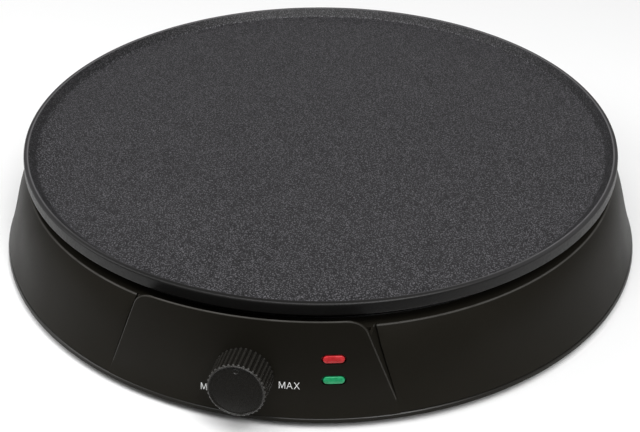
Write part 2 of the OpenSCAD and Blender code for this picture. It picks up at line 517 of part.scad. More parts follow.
module wire_lamps() color([0.85, 0.85, 0.83]) { wire(lampA, 0.7); wire(lampB, 0.7); wire(lampC, 0.7); wire(lampD, 0.7); }

baking_plate();
heating_element();
element_seals();
element_pins();
element_clips();
element_clip_screws();
heat_shield();
heat_washers();
plate_screws();
housing_shell();
base_plate();
base_screws();
rubber_feet();
cord_gland();
temperature_knob();
thermostat_shaft();
shaft_clip();
thermostat_bush();
thermostat_bracket();
thermostat_screws();
stack_insulators();
stack_rivet();
arm_terminal();
contact_arm();
adjuster_pin();
upper_contact_blade();
bimetal_blade();
bimetal_pin();
thermal_fuse();
fuse_clip();
red_lens();
green_lens();
red_lamp();
green_lamp();
lamp_holder();
lamp_resistors();
terminal_block();
terminal_screws();
earth_screw();
earth_tab();
push_on_connectors();
wire_live();
wire_neutral();
wire_heater();
wire_earth();
wire_lamps();
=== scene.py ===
import json
import math
import bpy
import bmesh
import numpy as np
from mathutils import Matrix, Vector


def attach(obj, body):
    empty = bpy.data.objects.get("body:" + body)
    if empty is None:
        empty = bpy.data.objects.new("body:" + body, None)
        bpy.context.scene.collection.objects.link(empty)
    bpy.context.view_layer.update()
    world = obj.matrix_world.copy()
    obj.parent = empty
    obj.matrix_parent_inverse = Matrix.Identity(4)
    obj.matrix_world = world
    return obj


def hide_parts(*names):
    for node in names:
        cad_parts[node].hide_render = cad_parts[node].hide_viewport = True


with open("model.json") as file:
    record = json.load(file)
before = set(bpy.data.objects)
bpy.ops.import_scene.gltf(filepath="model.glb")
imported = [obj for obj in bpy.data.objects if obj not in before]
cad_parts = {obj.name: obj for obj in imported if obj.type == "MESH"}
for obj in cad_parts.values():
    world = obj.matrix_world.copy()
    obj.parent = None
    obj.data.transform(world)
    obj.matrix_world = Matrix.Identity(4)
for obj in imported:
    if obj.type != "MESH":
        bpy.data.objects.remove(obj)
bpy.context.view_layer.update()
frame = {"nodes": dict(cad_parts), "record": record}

MM = 0.001
scene = bpy.context.scene

# ------------------------------------------------------------------ camera
cam_data = bpy.data.cameras.new("camera")
cam_data.sensor_width = 36.0
cam_data.lens = 65.50
cam_data.clip_start = 0.01
cam_data.clip_end = 100.0
cam = bpy.data.objects.new("camera", cam_data)
scene.collection.objects.link(cam)
AZ, PITCH, YAW, ROLL = 11.5, 33.668, 0.044, 0.045
cam.matrix_world = (
    Matrix.Translation((0.1089, -0.5350, 0.3630))
    @ Matrix.Rotation(math.radians(AZ + YAW), 4, "Z")
    @ Matrix.Rotation(math.radians(90 - PITCH), 4, "X")
    @ Matrix.Rotation(math.radians(ROLL), 4, "Z"))
scene.camera = cam
scene.view_settings.view_transform = "Standard"
scene.view_settings.look = "None"

# ------------------------------------------------------------------ sizes, in mm, as the CAD part has them
F = 3.5
BASE_R, TOP_R, SHELL_H, WALL = 170.9, 155.5, 41.4, 2.5
SLOPE = (BASE_R - TOP_R) / SHELL_H
CONE_K = math.sqrt(1 + SLOPE * SLOPE)
SHELL_Z0, SHELL_Z1 = F + 2.4, F + SHELL_H
LEDGE_Z0, LEDGE_R = SHELL_Z1 - WALL, 138.0
SURF_Z = F + 50.3
CREST_Z = SURF_Z + 4.3
RIM_LOW = F + 49.1
UNDER_Z = SURF_Z - 4.0
ELEM_Z = UNDER_Z - 5.2
COOK_R = 149.5
TILT = math.radians(7.3)
PANEL_TOP = F + 50.3
KNOB_Z = 22.4
KNOB_R, KNOB_D = 13.4, 13.9
LENS_L, LENS_W, LENS_AZ, LENS_MID, LENS_OFF = 9.4, 3.6, 13.5, F + 26.5, 5.34
GLAND_Y, GLAND_Z = 162.5, 17.0
LIP = 0.8


def cone_r(z):
    """The skirt's outer radius: a cone, a little convex below its top edge."""
    t = (z - F) / SHELL_H
    full = 9.48 * 1.4 * t ** 3 * (1 - t) if 0 < t < 1 else 0.0
    return BASE_R - SLOPE * (z - F) + full


def panel_r(z):
    return 169.3 - math.tan(TILT) * (z - F)


def face_r(z, k=1.2):
    """The panel's face, running smoothly into the skirt near the bottom."""
    a, b = panel_r(z), cone_r(z)
    h = max(k - abs(a - b), 0.0) / k
    return max(a, b) + h * h * k / 4


def panel_w(z):
    return 69.0 - 0.38 * (z - F)


def panel_frame(az, z):
    """Frame on the panel's face, in metres: local Z points out of it, Y up it, X to the right."""
    return (Matrix.Rotation(math.radians(az), 4, "Z")
            @ Matrix.Translation((0, -panel_r(z) * MM, z * MM))
            @ Matrix.Rotation(math.radians(90) - TILT, 4, "X"))


AXIS = panel_frame(0, F + KNOB_Z)


# ------------------------------------------------------------------ mesh helpers
def mesh_object(name, verts, faces, smooth_deg=32, matrix=None):
    """verts in mm; faces as index lists."""
    me = bpy.data.meshes.new(name)
    me.from_pydata([tuple(v) for v in verts], [], [tuple(f) for f in faces])
    me.transform(Matrix.Scale(MM, 4))
    if matrix is not None:
        me.transform(matrix)
    me.validate()
    bm = bmesh.new()
    bm.from_mesh(me)
    bmesh.ops.recalc_face_normals(bm, faces=bm.faces)
    bm.to_mesh(me)
    bm.free()
    me.shade_smooth()
    me.set_sharp_from_angle(angle=math.radians(smooth_deg))
    ob = bpy.data.objects.new(name, me)
    scene.collection.objects.link(ob)
    return ob


def fillet(points, seg=6):
    """points: (x, y, radius) of a closed outline. Corners with a radius become arcs."""
    out = []
    n = len(points)
    for i in range(n):
        p = np.array(points[i][:2], float)
        r = points[i][2]
        if r <= 0:
            out.append(tuple(p))
            continue
        a = np.array(points[i - 1][:2], float) - p
        b = np.array(points[(i + 1) % n][:2], float) - p
        la, lb = np.linalg.norm(a), np.linalg.norm(b)
        a, b = a / la, b / lb
        ang = math.acos(max(-1, min(1, float(a @ b))))
        if ang > math.pi - 1e-3:             # no corner here
            out.append(tuple(p))
            continue
        t = r / math.tan(ang / 2)
        t = min(t, la * 0.49, lb * 0.49)
        r = t * math.tan(ang / 2)
        c = p + (a + b) / np.linalg.norm(a + b) * (r / math.sin(ang / 2))
        s, e = p + a * t - c, p + b * t - c
        a0 = math.atan2(s[1], s[0])
        a1 = math.atan2(e[1], e[0])
        d = (a1 - a0 + math.pi) % (2 * math.pi) - math.pi
        for k in range(seg + 1):
            th = a0 + d * k / seg
            out.append((c[0] + r * math.cos(th), c[1] + r * math.sin(th)))
    return out


def split_long(points, longest, closed=True):
    """Adds points along long straight stretches, so that big faces stay even."""
    out = []
    n = len(points)
    for i in range(n if closed else n - 1):
        a, b = np.array(points[i], float), np.array(points[(i + 1) % n], float)
        m = max(1, int(math.ceil(np.linalg.norm(b - a) / longest)))
        for k in range(m):
            out.append(tuple(a + (b - a) * k / m))
    if not closed:
        out.append(tuple(points[-1]))
    return out


def revolve_data(profile, n=360, closed=True):
    """Turns a profile of (radius, height) about Z. A point at radius 0 becomes one pole."""
    verts, rings = [], []
    for r, z in profile:
        if r < 1e-6:
            rings.append([len(verts)] * n)
            verts.append((0, 0, z))
        else:
            rings.append(list(range(len(verts), len(verts) + n)))
            for i in range(n):
                t = 2 * math.pi * i / n
                verts.append((r * math.cos(t), r * math.sin(t), z))
    faces = []
    m = len(rings)
    for j in range(m if closed else m - 1):
        a, b = rings[j], rings[(j + 1) % m]
        for i in range(n):
            k = (i + 1) % n
            f = [a[i], a[k], b[k], b[i]]
            g = []
            for v in f:
                if v not in g:
                    g.append(v)
            if len(g) > 2:
                faces.append(g)
    return verts, faces


def revolve(name, profile, n=360, closed=True, matrix=None, smooth_deg=32):
    v, f = revolve_data(profile, n, closed)
    return mesh_object(name, v, f, smooth_deg, matrix)


def loft(name, rings, caps=True, matrix=None, smooth_deg=32, closed=False):
    """Joins closed rings of equal length, one after another."""
    n = len(rings[0])
    verts = [p for r in rings for p in r]
    faces = []
    m = len(rings)
    for j in range(m if closed else m - 1):
        for i in range(n):
            k = (i + 1) % n
            a, b = j * n, ((j + 1) % m) * n
            faces.append([a + i, a + k, b + k, b + i])
    if caps and not closed:
        faces.append(list(range(n))[::-1])
        faces.append([(m - 1) * n + i for i in range(n)])
    return mesh_object(name, verts, faces, smooth_deg, matrix)


def pill_outline(l, w, seg=12):
    r, h = w / 2, (l - w) / 2
    pts = []
    for k in range(seg + 1):
        t = -math.pi / 2 + math.pi * k / seg
        pts.append((h + r * math.cos(t), r * math.sin(t)))
    for k in range(seg + 1):
        t = math.pi / 2 + math.pi * k / seg
        pts.append((-h + r * math.cos(t), r * math.sin(t)))
    return pts


def pill_loft(name, stations, matrix, seg=12, smooth_deg=32):
    """stations: (length, width, height) from one end to the other."""
    rings = [[(x, y, z) for x, y in pill_outline(l, w, seg)] for l, w, z in stations]
    return loft(name, rings, True, matrix, smooth_deg)


def cut(target, tool, op="DIFFERENCE"):
    """Boolean with the tool, which is then removed."""
    mod = target.modifiers.new("b", "BOOLEAN")
    mod.operation = op
    mod.object = tool
    mod.solver = "MANIFOLD"
    bpy.context.view_layer.update()
    dg = bpy.context.evaluated_depsgraph_get()
    me = bpy.data.meshes.new_from_object(target.evaluated_get(dg))
    target.modifiers.remove(mod)
    old = target.data
    target.data = me
    bpy.data.meshes.remove(old)
    gone = tool.data
    bpy.data.objects.remove(tool)
    bpy.data.meshes.remove(gone)


def tidy(ob, dist=0.004, smooth_deg=32):
    """Merges slivers left by the cuts and shades by angle with face-weighted normals."""
    bm = bmesh.new()
    bm.from_mesh(ob.data)
    bmesh.ops.remove_doubles(bm, verts=bm.verts, dist=dist * MM)
    bmesh.ops.dissolve_degenerate(bm, edges=bm.edges, dist=dist * MM)
    bmesh.ops.recalc_face_normals(bm, faces=bm.faces)
    bm.to_mesh(ob.data)
    bm.free()
    ob.data.shade_smooth()
    ob.data.set_sharp_from_angle(angle=math.radians(smooth_deg))
    w = ob.modifiers.new("weighted", "WEIGHTED_NORMAL")
    w.keep_sharp = True
    w.weight = 80


# ------------------------------------------------------------------ materials
class Mat:
    def __init__(self, name):
        self.m = bpy.data.materials.new(name)
        self.m.use_nodes = True
        self.nt = self.m.node_tree
        self.nt.nodes.clear()
        self.out = self.nt.nodes.new("ShaderNodeOutputMaterial")
        self.b = self.nt.nodes.new("ShaderNodeBsdfPrincipled")
        self.nt.links.new(self.b.outputs[0], self.out.inputs[0])
        self.co = self.nt.nodes.new("ShaderNodeTexCoord").outputs["Object"]

    def put(self, **kw):
        names = {"rough": "Roughness", "metal": "Metallic", "spec": "Specular IOR Level", "ior": "IOR",
                 "coat": "Coat Weight", "coat_rough": "Coat Roughness", "sheen": "Sheen Weight", "sheen_rough": "Sheen Roughness",
                 "trans": "Transmission Weight", "sss": "Subsurface Weight", "sss_scale": "Subsurface Scale",
                 "aniso": "Anisotropic", "alpha": "Alpha"}
        for k, v in kw.items():
            self.b.inputs[names[k]].default_value = v
        return self

    def link(self, a, b):
        self.nt.links.new(a, b)

    def node(self, kind, **props):
        n = self.nt.nodes.new(kind)
        for k, v in props.items():
            setattr(n, k, v)
        return n

    def stretch(self, sx, sy, sz):
        n = self.node("ShaderNodeMapping")
        n.inputs["Scale"].default_value = (sx, sy, sz)
        self.link(self.co, n.inputs["Vector"])
        return n.outputs[0]

    def noise(self, per_m, detail=2.0, rough=0.5, co=None, distortion=0.0):
        n = self.node("ShaderNodeTexNoise")
        n.inputs["Scale"].default_value = per_m
        n.inputs["Detail"].default_value = detail
        n.inputs["Roughness"].default_value = rough
        n.inputs["Distortion"].default_value = distortion
        self.link(co or self.co, n.inputs["Vector"])
        return n.outputs["Fac"]

    def cells(self, per_m, feature="F1", co=None, output="Distance"):
        n = self.node("ShaderNodeTexVoronoi", feature=feature)
        n.inputs["Scale"].default_value = per_m
        self.link(co or self.co, n.inputs["Vector"])
        return n.outputs[output]

    def grain(self, per_m):
        """One random value for each small cell, 0..1."""
        n = self.node("ShaderNodeSeparateColor")
        self.link(self.cells(per_m, output="Color"), n.inputs[0])
        return n.outputs[0]

    def remap(self, x, a, b, c, d):
        n = self.node("ShaderNodeMapRange")
        self.link(x, n.inputs["Value"])
        for k, v in zip(("From Min", "From Max", "To Min", "To Max"), (a, b, c, d)):
            n.inputs[k].default_value = v
        return n.outputs[0]

    def math(self, op, a, b):
        n = self.node("ShaderNodeMath", operation=op)
        for i, v in enumerate((a, b)):
            if isinstance(v, (int, float)):
                n.inputs[i].default_value = v
            else:
                self.link(v, n.inputs[i])
        return n.outputs[0]

    def mix(self, f, a, b):
        n = self.node("ShaderNodeMix", data_type="RGBA")
        self.link(f, n.inputs["Factor"])
        for s, v in (("A", a), ("B", b)):
            sock = [i for i in n.inputs if i.name == s and i.type == "RGBA"][0]
            if isinstance(v, tuple):
                sock.default_value = (*v, 1.0)
            else:
                self.link(v, sock)
        return [o for o in n.outputs if o.type == "RGBA"][0]

    def color(self, c):
        if isinstance(c, tuple):
            self.b.inputs["Base Color"].default_value = (*c, 1.0)
        else:
            self.link(c, self.b.inputs["Base Color"])
        return self

    def rough(self, x):
        self.link(x, self.b.inputs["Roughness"])
        return self

    def bump(self, height, strength, dist_mm, below=None):
        n = self.node("ShaderNodeBump")
        n.inputs["Strength"].default_value = strength
        n.inputs["Distance"].default_value = dist_mm * MM
        self.link(height, n.inputs["Height"])
        if below is not None:
            self.link(below, n.inputs["Normal"])
        self.link(n.outputs[0], self.b.inputs["Normal"])
        return n.outputs[0]

    def dust(self, size, lo=0.45, hi=0.75):
        """Slow patches, such as handling marks, as a 0..1 factor."""
        return self.remap(self.noise(size, 3, 0.55), lo, hi, 0, 1)


def nonstick():
    """Speckled coat on top, a smoother and darker one on the outer wall and underneath."""
    m = Mat("nonstick_coat")
    sep = m.node("ShaderNodeSeparateXYZ")
    m.link(m.co, sep.inputs[0])
    x, y, z = sep.outputs
    r = m.math("SQRT", m.math("ADD", m.math("MULTIPLY", x, x), m.math("MULTIPLY", y, y)), 0.0)
    wall = m.remap(r, (COOK_R + 3.7) * MM, (COOK_R + 4.0) * MM, 0, 1)
    below = m.remap(z, (UNDER_Z + 2.5) * MM, (UNDER_Z + 1.5) * MM, 0, 1)
    smooth = m.math("MAXIMUM", wall, below)
    pores = m.remap(m.cells(1180), 0.12, 0.52, 1, 0)
    grain = m.math("ADD", m.math("MULTIPLY", pores, 0.62), m.math("MULTIPLY", m.grain(2300), 0.38))
    base = m.mix(m.remap(grain, 0.22, 0.80, 0, 1), (0.0110, 0.0107, 0.0116), (0.1420, 0.1388, 0.1490))
    fleck = m.math("MULTIPLY", m.remap(m.grain(760), 0.93, 0.95, 0, 0.5), m.remap(m.cells(760), 0.30, 0.45, 1.0, 0.0))
    col = m.mix(fleck, base, (0.165, 0.161, 0.172))
    col = m.mix(m.math("MULTIPLY", m.dust(14), 0.06), col, (0.060, 0.058, 0.061))
    # painted highlight: the crest's flat top is painted lighter and its inner edge bright, both fading out toward the
    # front
    # the inner wall of the rim is a little darker than the surface
    inner = m.math("MULTIPLY", m.remap(r, (COOK_R + 0.2) * MM, (COOK_R + 0.8) * MM, 0, 0.45), m.remap(z, (SURF_Z + 0.3) * MM, (SURF_Z + 0.9) * MM, 0, 1))
    col = m.mix(inner, col, (0.0085, 0.0083, 0.0088))
    col = m.mix(smooth, col, (0.0070, 0.0067, 0.0064))
    # painted highlight on the crest, kept off the front of the plate
    high = m.remap(z, (CREST_Z - 0.9) * MM, (CREST_Z - 0.5) * MM, 0, 1)
    highlight_away_from_front = m.math("MULTIPLY", high, m.remap(y, -0.150, -0.085, 0.05, 1.0))
    flat_top = m.math("MULTIPLY", m.remap(r, (COOK_R + 3.7) * MM, (COOK_R + 4.0) * MM, 0, 1), m.remap(r, (COOK_R + 6.0) * MM, (COOK_R + 6.4) * MM, 1, 0))
    col = m.mix(m.math("MULTIPLY", flat_top, highlight_away_from_front), col, (0.034, 0.033, 0.034))
    crest = m.math("MULTIPLY", m.remap(r, (COOK_R + 3.7) * MM, (COOK_R + 4.0) * MM, 0, 0.9), m.remap(r, (COOK_R + 4.4) * MM, (COOK_R + 4.8) * MM, 1, 0))
    crest = m.math("MULTIPLY", crest, m.math("MULTIPLY", highlight_away_from_front, m.remap(m.noise(160, 3), 0.25, 0.5, 0.7, 1.0)))
    m.color(m.mix(crest, col, (0.120, 0.117, 0.121)))
    gloss = m.math("MULTIPLY", smooth, -0.06)
    m.rough(m.math("ADD", m.math("ADD", m.remap(m.noise(900, 2), 0.3, 0.7, 0.42, 0.56), m.remap(m.noise(18, 3), 0.3, 0.7, -0.03, 0.03)), gloss))
    m.put(spec=0.26)
    a = m.bump(m.noise(900, 2, 0.6), 0.35, 0.06)
    m.bump(m.noise(300, 2, 0.5), 0.10, 0.10, a)
    return m.m


def plastic(name, dark, light, rough_lo, rough_hi, spec, grain=3200, grain_strength=0.12, edges=()):
    """edges: (z0, z1, inner and outer radius, amount) in mm, where the moulding's top edges are painted lighter as a
    highlight.
    """
    m = Mat(name)
    patches = m.dust(26)
    grainy = m.remap(m.noise(grain * 0.55, 2, 0.6), 0.3, 0.7, 0, 1)
    col = m.mix(grainy, dark, light)
    col = m.mix(m.math("MULTIPLY", patches, 0.18), col, tuple(c * 1.6 for c in light))
    if edges:
        sep = m.node("ShaderNodeSeparateXYZ")
        m.link(m.co, sep.inputs[0])
        x, y, z = sep.outputs
        r = m.math("SQRT", m.math("ADD", m.math("MULTIPLY", x, x), m.math("MULTIPLY", y, y)), 0.0)
        uneven = m.remap(m.noise(140, 3), 0.25, 0.55, 0.6, 1.0)
        # painted highlight: a lighter colour along each given top edge; the skirt's edge is left out behind the panel
        # at the front
        for z0, z1, r0, r1, amount in edges:
            up = m.remap(z, z0 * MM, (z0 + 0.35) * MM, 0, amount)
            down = m.remap(z, z1 * MM, (z1 + 0.1) * MM, 1, 0)
            out = m.math("MULTIPLY", m.remap(r, (r0 - 0.2) * MM, (r0 + 0.2) * MM, 0, 1), m.remap(r, (r1 - 0.2) * MM, (r1 + 0.2) * MM, 1, 0))
            mask = m.math("MULTIPLY", m.math("MULTIPLY", up, down), m.math("MULTIPLY", out, uneven))
            if r0 < TOP_R:
                highlight_away_from_front = m.math("MAXIMUM", m.remap(m.math("ABSOLUTE", x, 0.0), 0.0530, 0.0533, 0, 1), m.remap(y, -0.01, 0.01, 0, 1))
                mask = m.math("MULTIPLY", mask, highlight_away_from_front)
            col = m.mix(mask, col, (0.085, 0.082, 0.076))
    m.color(col)
    m.rough(m.math("ADD", m.remap(m.noise(grain * 0.8, 2), 0.3, 0.7, rough_lo, rough_hi),
                   m.remap(m.noise(31, 4), 0.3, 0.7, -0.035, 0.035)))
    m.put(spec=spec)
    a = m.bump(m.noise(grain, 2, 0.6), grain_strength, 0.03)
    m.bump(m.noise(95, 2, 0.5), 0.05, 0.10, a)
    return m.m


def metal(name, dark, light, rough_lo, rough_hi, stretch=(1, 1, 1), per_m=900, streak=0.1, stain=None):
    m = Mat(name)
    co = m.stretch(*stretch)
    g = m.noise(per_m, 4, 0.6, co)
    col = m.mix(m.remap(g, 0.3, 0.7, 0, 1), dark, light)
    if stain:
        col = m.mix(m.remap(m.noise(45, 4, 0.6), 0.45, 0.72, 0, 0.7), col, stain)
    m.color(col)
    m.put(metal=1.0)
    m.rough(m.remap(m.noise(per_m * 0.7, 3, 0.5, co), 0.3, 0.7, rough_lo, rough_hi))
    m.bump(g, streak, 0.02)
    return m.m


def lens(name, deep, bright):
    m = Mat(name)
    depth = m.remap(m.noise(420, 2), 0.3, 0.7, 0, 1)
    m.color(m.mix(depth, deep, bright))
    m.put(spec=0.28, coat=0.12, coat_rough=0.08, sss=0.10, sss_scale=0.0012)
    m.b.inputs["Subsurface Radius"].default_value = tuple(max(0.15, c) for c in bright)
    m.rough(m.remap(m.noise(900, 2), 0.3, 0.7, 0.16, 0.26))
    m.bump(m.noise(600, 1), 0.05, 0.03)
    return m.m


def rubber(name, col, rough=0.75, grain=1800):
    m = Mat(name)
    g = m.remap(m.noise(grain, 3, 0.6), 0.3, 0.7, 0, 1)
    m.color(m.mix(g, col, tuple(min(1, c * 1.35 + 0.002) for c in col)))
    m.put(spec=0.35)
    m.rough(m.remap(m.noise(grain * 0.6, 2), 0.3, 0.7, rough - 0.07, rough + 0.07))
    m.bump(m.noise(grain * 1.3, 3, 0.6), 0.15, 0.04)
    return m.m


def ceramic(name, col):
    m = Mat(name)
    g = m.remap(m.noise(700, 4, 0.65), 0.35, 0.75, 0, 1)
    m.color(m.mix(g, col, tuple(c * 0.86 for c in col)))
    m.put(spec=0.4)
    m.rough(m.remap(m.noise(1300, 2), 0.3, 0.7, 0.5, 0.7))
    m.bump(m.noise(2200, 3, 0.6), 0.12, 0.03)
    return m.m


def braid(name, a, b, per_m=1500):
    m = Mat(name)
    c = m.cells(per_m)
    m.color(m.mix(m.remap(c, 0.1, 0.6, 0, 1), a, b))
    m.put(spec=0.3, rough=0.7)
    m.bump(c, 0.3, 0.08)
    return m.m


def printed_ink():
    m = Mat("printed_ink")
    g = m.remap(m.noise(1800, 3, 0.6), 0.25, 0.6, 0, 1)
    m.color(m.mix(g, (0.80, 0.80, 0.79), (0.90, 0.90, 0.89)))
    m.put(spec=0.35)
    m.rough(m.remap(m.noise(1500, 2), 0.3, 0.7, 0.45, 0.6))
    m.bump(m.noise(2500, 2), 0.08, 0.01)
    return m.m


def glass(name, col):
    m = Mat(name)
    g = m.noise(300, 2)
    m.color(m.mix(g, col, tuple(min(1, c * 1.1) for c in col)))
    m.put(spec=0.5, trans=0.75)
    m.rough(m.remap(m.noise(500, 2), 0.3, 0.7, 0.05, 0.14))
    return m.m


# edges paints highlights along the skirt's top edge and the panel's top lip
SHELL_MAT = plastic("housing_plastic", (0.0105, 0.0094, 0.0070), (0.0135, 0.0122, 0.0094), 0.38, 0.45, 0.05,
                    edges=((SHELL_Z1 - 0.36, SHELL_Z1 + 0.2, TOP_R - 0.75, TOP_R + 0.6, 1.0), (PANEL_TOP - 0.34, PANEL_TOP + 1, TOP_R + 2, 200, 0.8)))
# a lighter copy of the housing plastic, a painted highlight for the round edges down the panel's sides
SHELL_EDGE_HIGHLIGHT = plastic("housing_edge_highlight", (0.026, 0.0245, 0.021), (0.034, 0.032, 0.028), 0.34, 0.42, 0.12)
BASE_MAT = plastic("base_plastic", (0.0095, 0.0087, 0.0068), (0.0125, 0.0115, 0.0093), 0.30, 0.38, 0.30, 2600, 0.16)
KNOB_MAT = plastic("knob_plastic", (0.0085, 0.0078, 0.0064), (0.0115, 0.0106, 0.0090), 0.24, 0.31, 0.33, 2600, 0.14)
# lighter copies of the knob plastic, painted highlights for the rib ridges and for the bead round the face
KNOB_RIDGE_HIGHLIGHT = plastic("knob_rib_highlight", (0.0165, 0.0155, 0.0135), (0.0230, 0.0215, 0.0190), 0.22, 0.30, 0.38, 2600, 0.14)
KNOB_EDGE_HIGHLIGHT = plastic("knob_edge_highlight", (0.026, 0.0245, 0.022), (0.040, 0.038, 0.035), 0.20, 0.28, 0.45, 2600, 0.14)
PLATE_MAT = nonstick()
MATS = {
    "nonstick_plate": PLATE_MAT,
    "housing_plastic": SHELL_MAT,
    "base_plastic": BASE_MAT,
    "knob_plastic": KNOB_MAT,
    "foot_rubber": rubber("foot_rubber", (0.012, 0.012, 0.012)),
    "red_lens": lens("red_lens", (0.48, 0.020, 0.024), (0.68, 0.042, 0.048)),
    "green_lens": lens("green_lens", (0.012, 0.28, 0.108), (0.030, 0.42, 0.175)),
    "element_sheath": metal("element_sheath", (0.10, 0.085, 0.075), (0.20, 0.18, 0.17), 0.42, 0.6, per_m=500, stain=(0.12, 0.07, 0.045)),
    "sheet_steel": metal("sheet_steel", (0.42, 0.43, 0.45), (0.56, 0.57, 0.59), 0.30, 0.44, (1, 9, 1), 260, 0.08, (0.36, 0.33, 0.29)),
    "zinc_steel": metal("zinc_steel", (0.46, 0.46, 0.47), (0.60, 0.60, 0.61), 0.26, 0.40, per_m=1200, stain=(0.50, 0.47, 0.40)),
    "brass": metal("brass", (0.50, 0.34, 0.12), (0.66, 0.48, 0.19), 0.24, 0.38, per_m=1100, stain=(0.36, 0.23, 0.09)),
    "ceramic": ceramic("ceramic", (0.80, 0.78, 0.71)),
    "lamp_glass": glass("lamp_glass", (0.88, 0.70, 0.58)),
    "nylon": ceramic("nylon", (0.70, 0.67, 0.58)),
    "wire_brown": rubber("wire_brown", (0.13, 0.045, 0.018), 0.5),
    "wire_blue": rubber("wire_blue", (0.018, 0.055, 0.30), 0.5),
    "wire_white": braid("wire_white", (0.74, 0.73, 0.69), (0.50, 0.49, 0.45)),
    "wire_earth": rubber("wire_earth", (0.13, 0.30, 0.035), 0.5),
}
slot_of = {s["node"]: s["material_slot"] for s in frame["record"]["subparts"]}
for name, ob in frame["nodes"].items():
    ob.data.materials.clear()
    ob.data.materials.append(MATS[slot_of[name]])


def finish_piece(ob, mat, body, nodes=()):
    ob.data.materials.clear()
    ob.data.materials.append(mat)
    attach(ob, body)
    if nodes:
        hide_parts(*nodes)
    return ob


# ------------------------------------------------------------------ cooking plate
def make_plate():
    crest_r, outer_r = COOK_R + 5.1, COOK_R + 6.7
    top = []
    # top surface, inner fillet, inner wall, round crest, outer wall, lower edge, underside
    for k in range(1, 24):
        top.append((COOK_R * 0.985 * k / 23.0, SURF_Z))
    pts = [
        (COOK_R - 1.6, SURF_Z, 0), (COOK_R - 0.1, SURF_Z, 1.4), (crest_r - 1.15, CREST_Z - 0.05, 0.9),
        (crest_r + 1.15, CREST_Z - 0.02, 1.1), (outer_r - 0.02, RIM_LOW + 0.2, 0), (outer_r - 0.15, RIM_LOW - 0.55, 0.55),
        (outer_r - 2.4, RIM_LOW - 0.9, 0.5), (COOK_R - 1, UNDER_Z + 0.6, 1.2), (COOK_R - 3.5, UNDER_Z, 0.8),
        (106, UNDER_Z, 0.9), (106, ELEM_Z + 0.05, 0.5), (103.55, ELEM_Z + 0.05, 0.15),
    ]
    prof = fillet([(0.0, SURF_Z, 0)] + pts + [(96.45, ELEM_Z, 0)], 8)[1:-1]
    # the groove that holds the element
    groove = [(100 + 3.55 * math.cos(a), ELEM_Z + 3.55 * math.sin(a)) for a in np.linspace(0.02, math.pi - 0.02, 17)]
    under = fillet([(97, ELEM_Z + 0.05, 0), (96.45, ELEM_Z + 0.05, 0.15), (94, ELEM_Z + 0.05, 0.5), (94, UNDER_Z, 0.9), (60, UNDER_Z, 0), (0, UNDER_Z + 5, 0)], 6)[1:-1]
    profile = [(0.0, SURF_Z)] + top + prof + groove + under + [(30, UNDER_Z), (0.0, UNDER_Z)]
    ob = revolve("plate", profile, 384, closed=False)
    # bosses under the plate, each with its tapped hole
    for r, angles, hole in ((143.5, (35, 145, 215, 325), 2.02), (115.0, (90, 210, 330), 1.77)):
        for a in angles:
            x, y = r * math.cos(math.radians(a)), r * math.sin(math.radians(a))
            boss(ob, x, y, hole)
    boss(ob, 42, 114, 2.02)
    pad = loft("pad", [[(x, y, z) for x, y in rect(-10, 18, -127, -107.5, 1.0)] for z in (UNDER_Z - 2, UNDER_Z + 1)])
    cut(ob, pad, "UNION")
    for x in (-3, 11):
        hole_tool(ob, x, -117, 1.77, UNDER_Z - 3, UNDER_Z + 2.2)
    tidy(ob)
    return finish_piece(ob, PLATE_MAT, "base", ["baking_plate"])


def rect(x0, x1, y0, y1, r, seg=5):
    return fillet([(x0, y0, r), (x1, y0, r), (x1, y1, r), (x0, y1, r)], seg)


def hole_tool(ob, x, y, r, z0, z1, n=40):
    t = loft("hole", [[(x + r * math.cos(2 * math.pi * i / n), y + r * math.sin(2 * math.pi * i / n), z) for i in range(n)] for z in (z0, z1)])
    cut(ob, t)


def boss(ob, x, y, hole, n=48):
    rings = []
    for r, z in ((4.6, UNDER_Z - 3.3), (4.85, UNDER_Z - 3.2), (5.0, UNDER_Z - 2.9), (5.0, UNDER_Z - 0.8), (5.15, UNDER_Z - 0.35), (5.7, UNDER_Z - 0.02), (5.7, UNDER_Z + 0.8)):
        rings.append([(x + r * math.cos(2 * math.pi * i / n), y + r * math.sin(2 * math.pi * i / n), z) for i in range(n)])
    cut(ob, loft("boss", rings), "UNION")
    hole_tool(ob, x, y, hole, UNDER_Z - 4, UNDER_Z + 2.2)


# ------------------------------------------------------------------ housing with its control panel
def panel_outline(shrink=0.0, z0=SHELL_Z0, z_top=PANEL_TOP, side_step=1.6, corner_seg=16, top_n=44, rc=9.5):
    """Right half from the bottom up and over to the middle: (x, z, nx, nz), with the normal pointing out of the outline."""
    k = math.sqrt(1 + 0.38 * 0.38)
    zc = z_top - rc
    xc = panel_w(zc) - rc * k
    n = (1 / k, 0.38 / k)
    pts = []
    ze = zc + rc * n[1]
    m = int((ze - z0) / side_step)
    for i in range(m):
        z = z0 + (ze - z0) * i / m
        pts.append((panel_w(z), z, n[0], n[1]))
    a0 = math.atan2(n[1], n[0])
    for i in range(corner_seg + 1):
        a = a0 + (math.pi / 2 - a0) * i / corner_seg
        pts.append((xc + rc * math.cos(a), zc + rc * math.sin(a), math.cos(a), math.sin(a)))
    for i in range(1, top_n // 2 + 1):
        pts.append((xc * (1 - i / (top_n / 2)), z_top, 0.0, 1.0))
    return [(x - shrink * nx, z - shrink * nz, nx, nz) for x, z, nx, nz in pts]


def on_r(x, z, r):
    return (x, -math.sqrt(max(r * r - x * x, 1.0)), z)


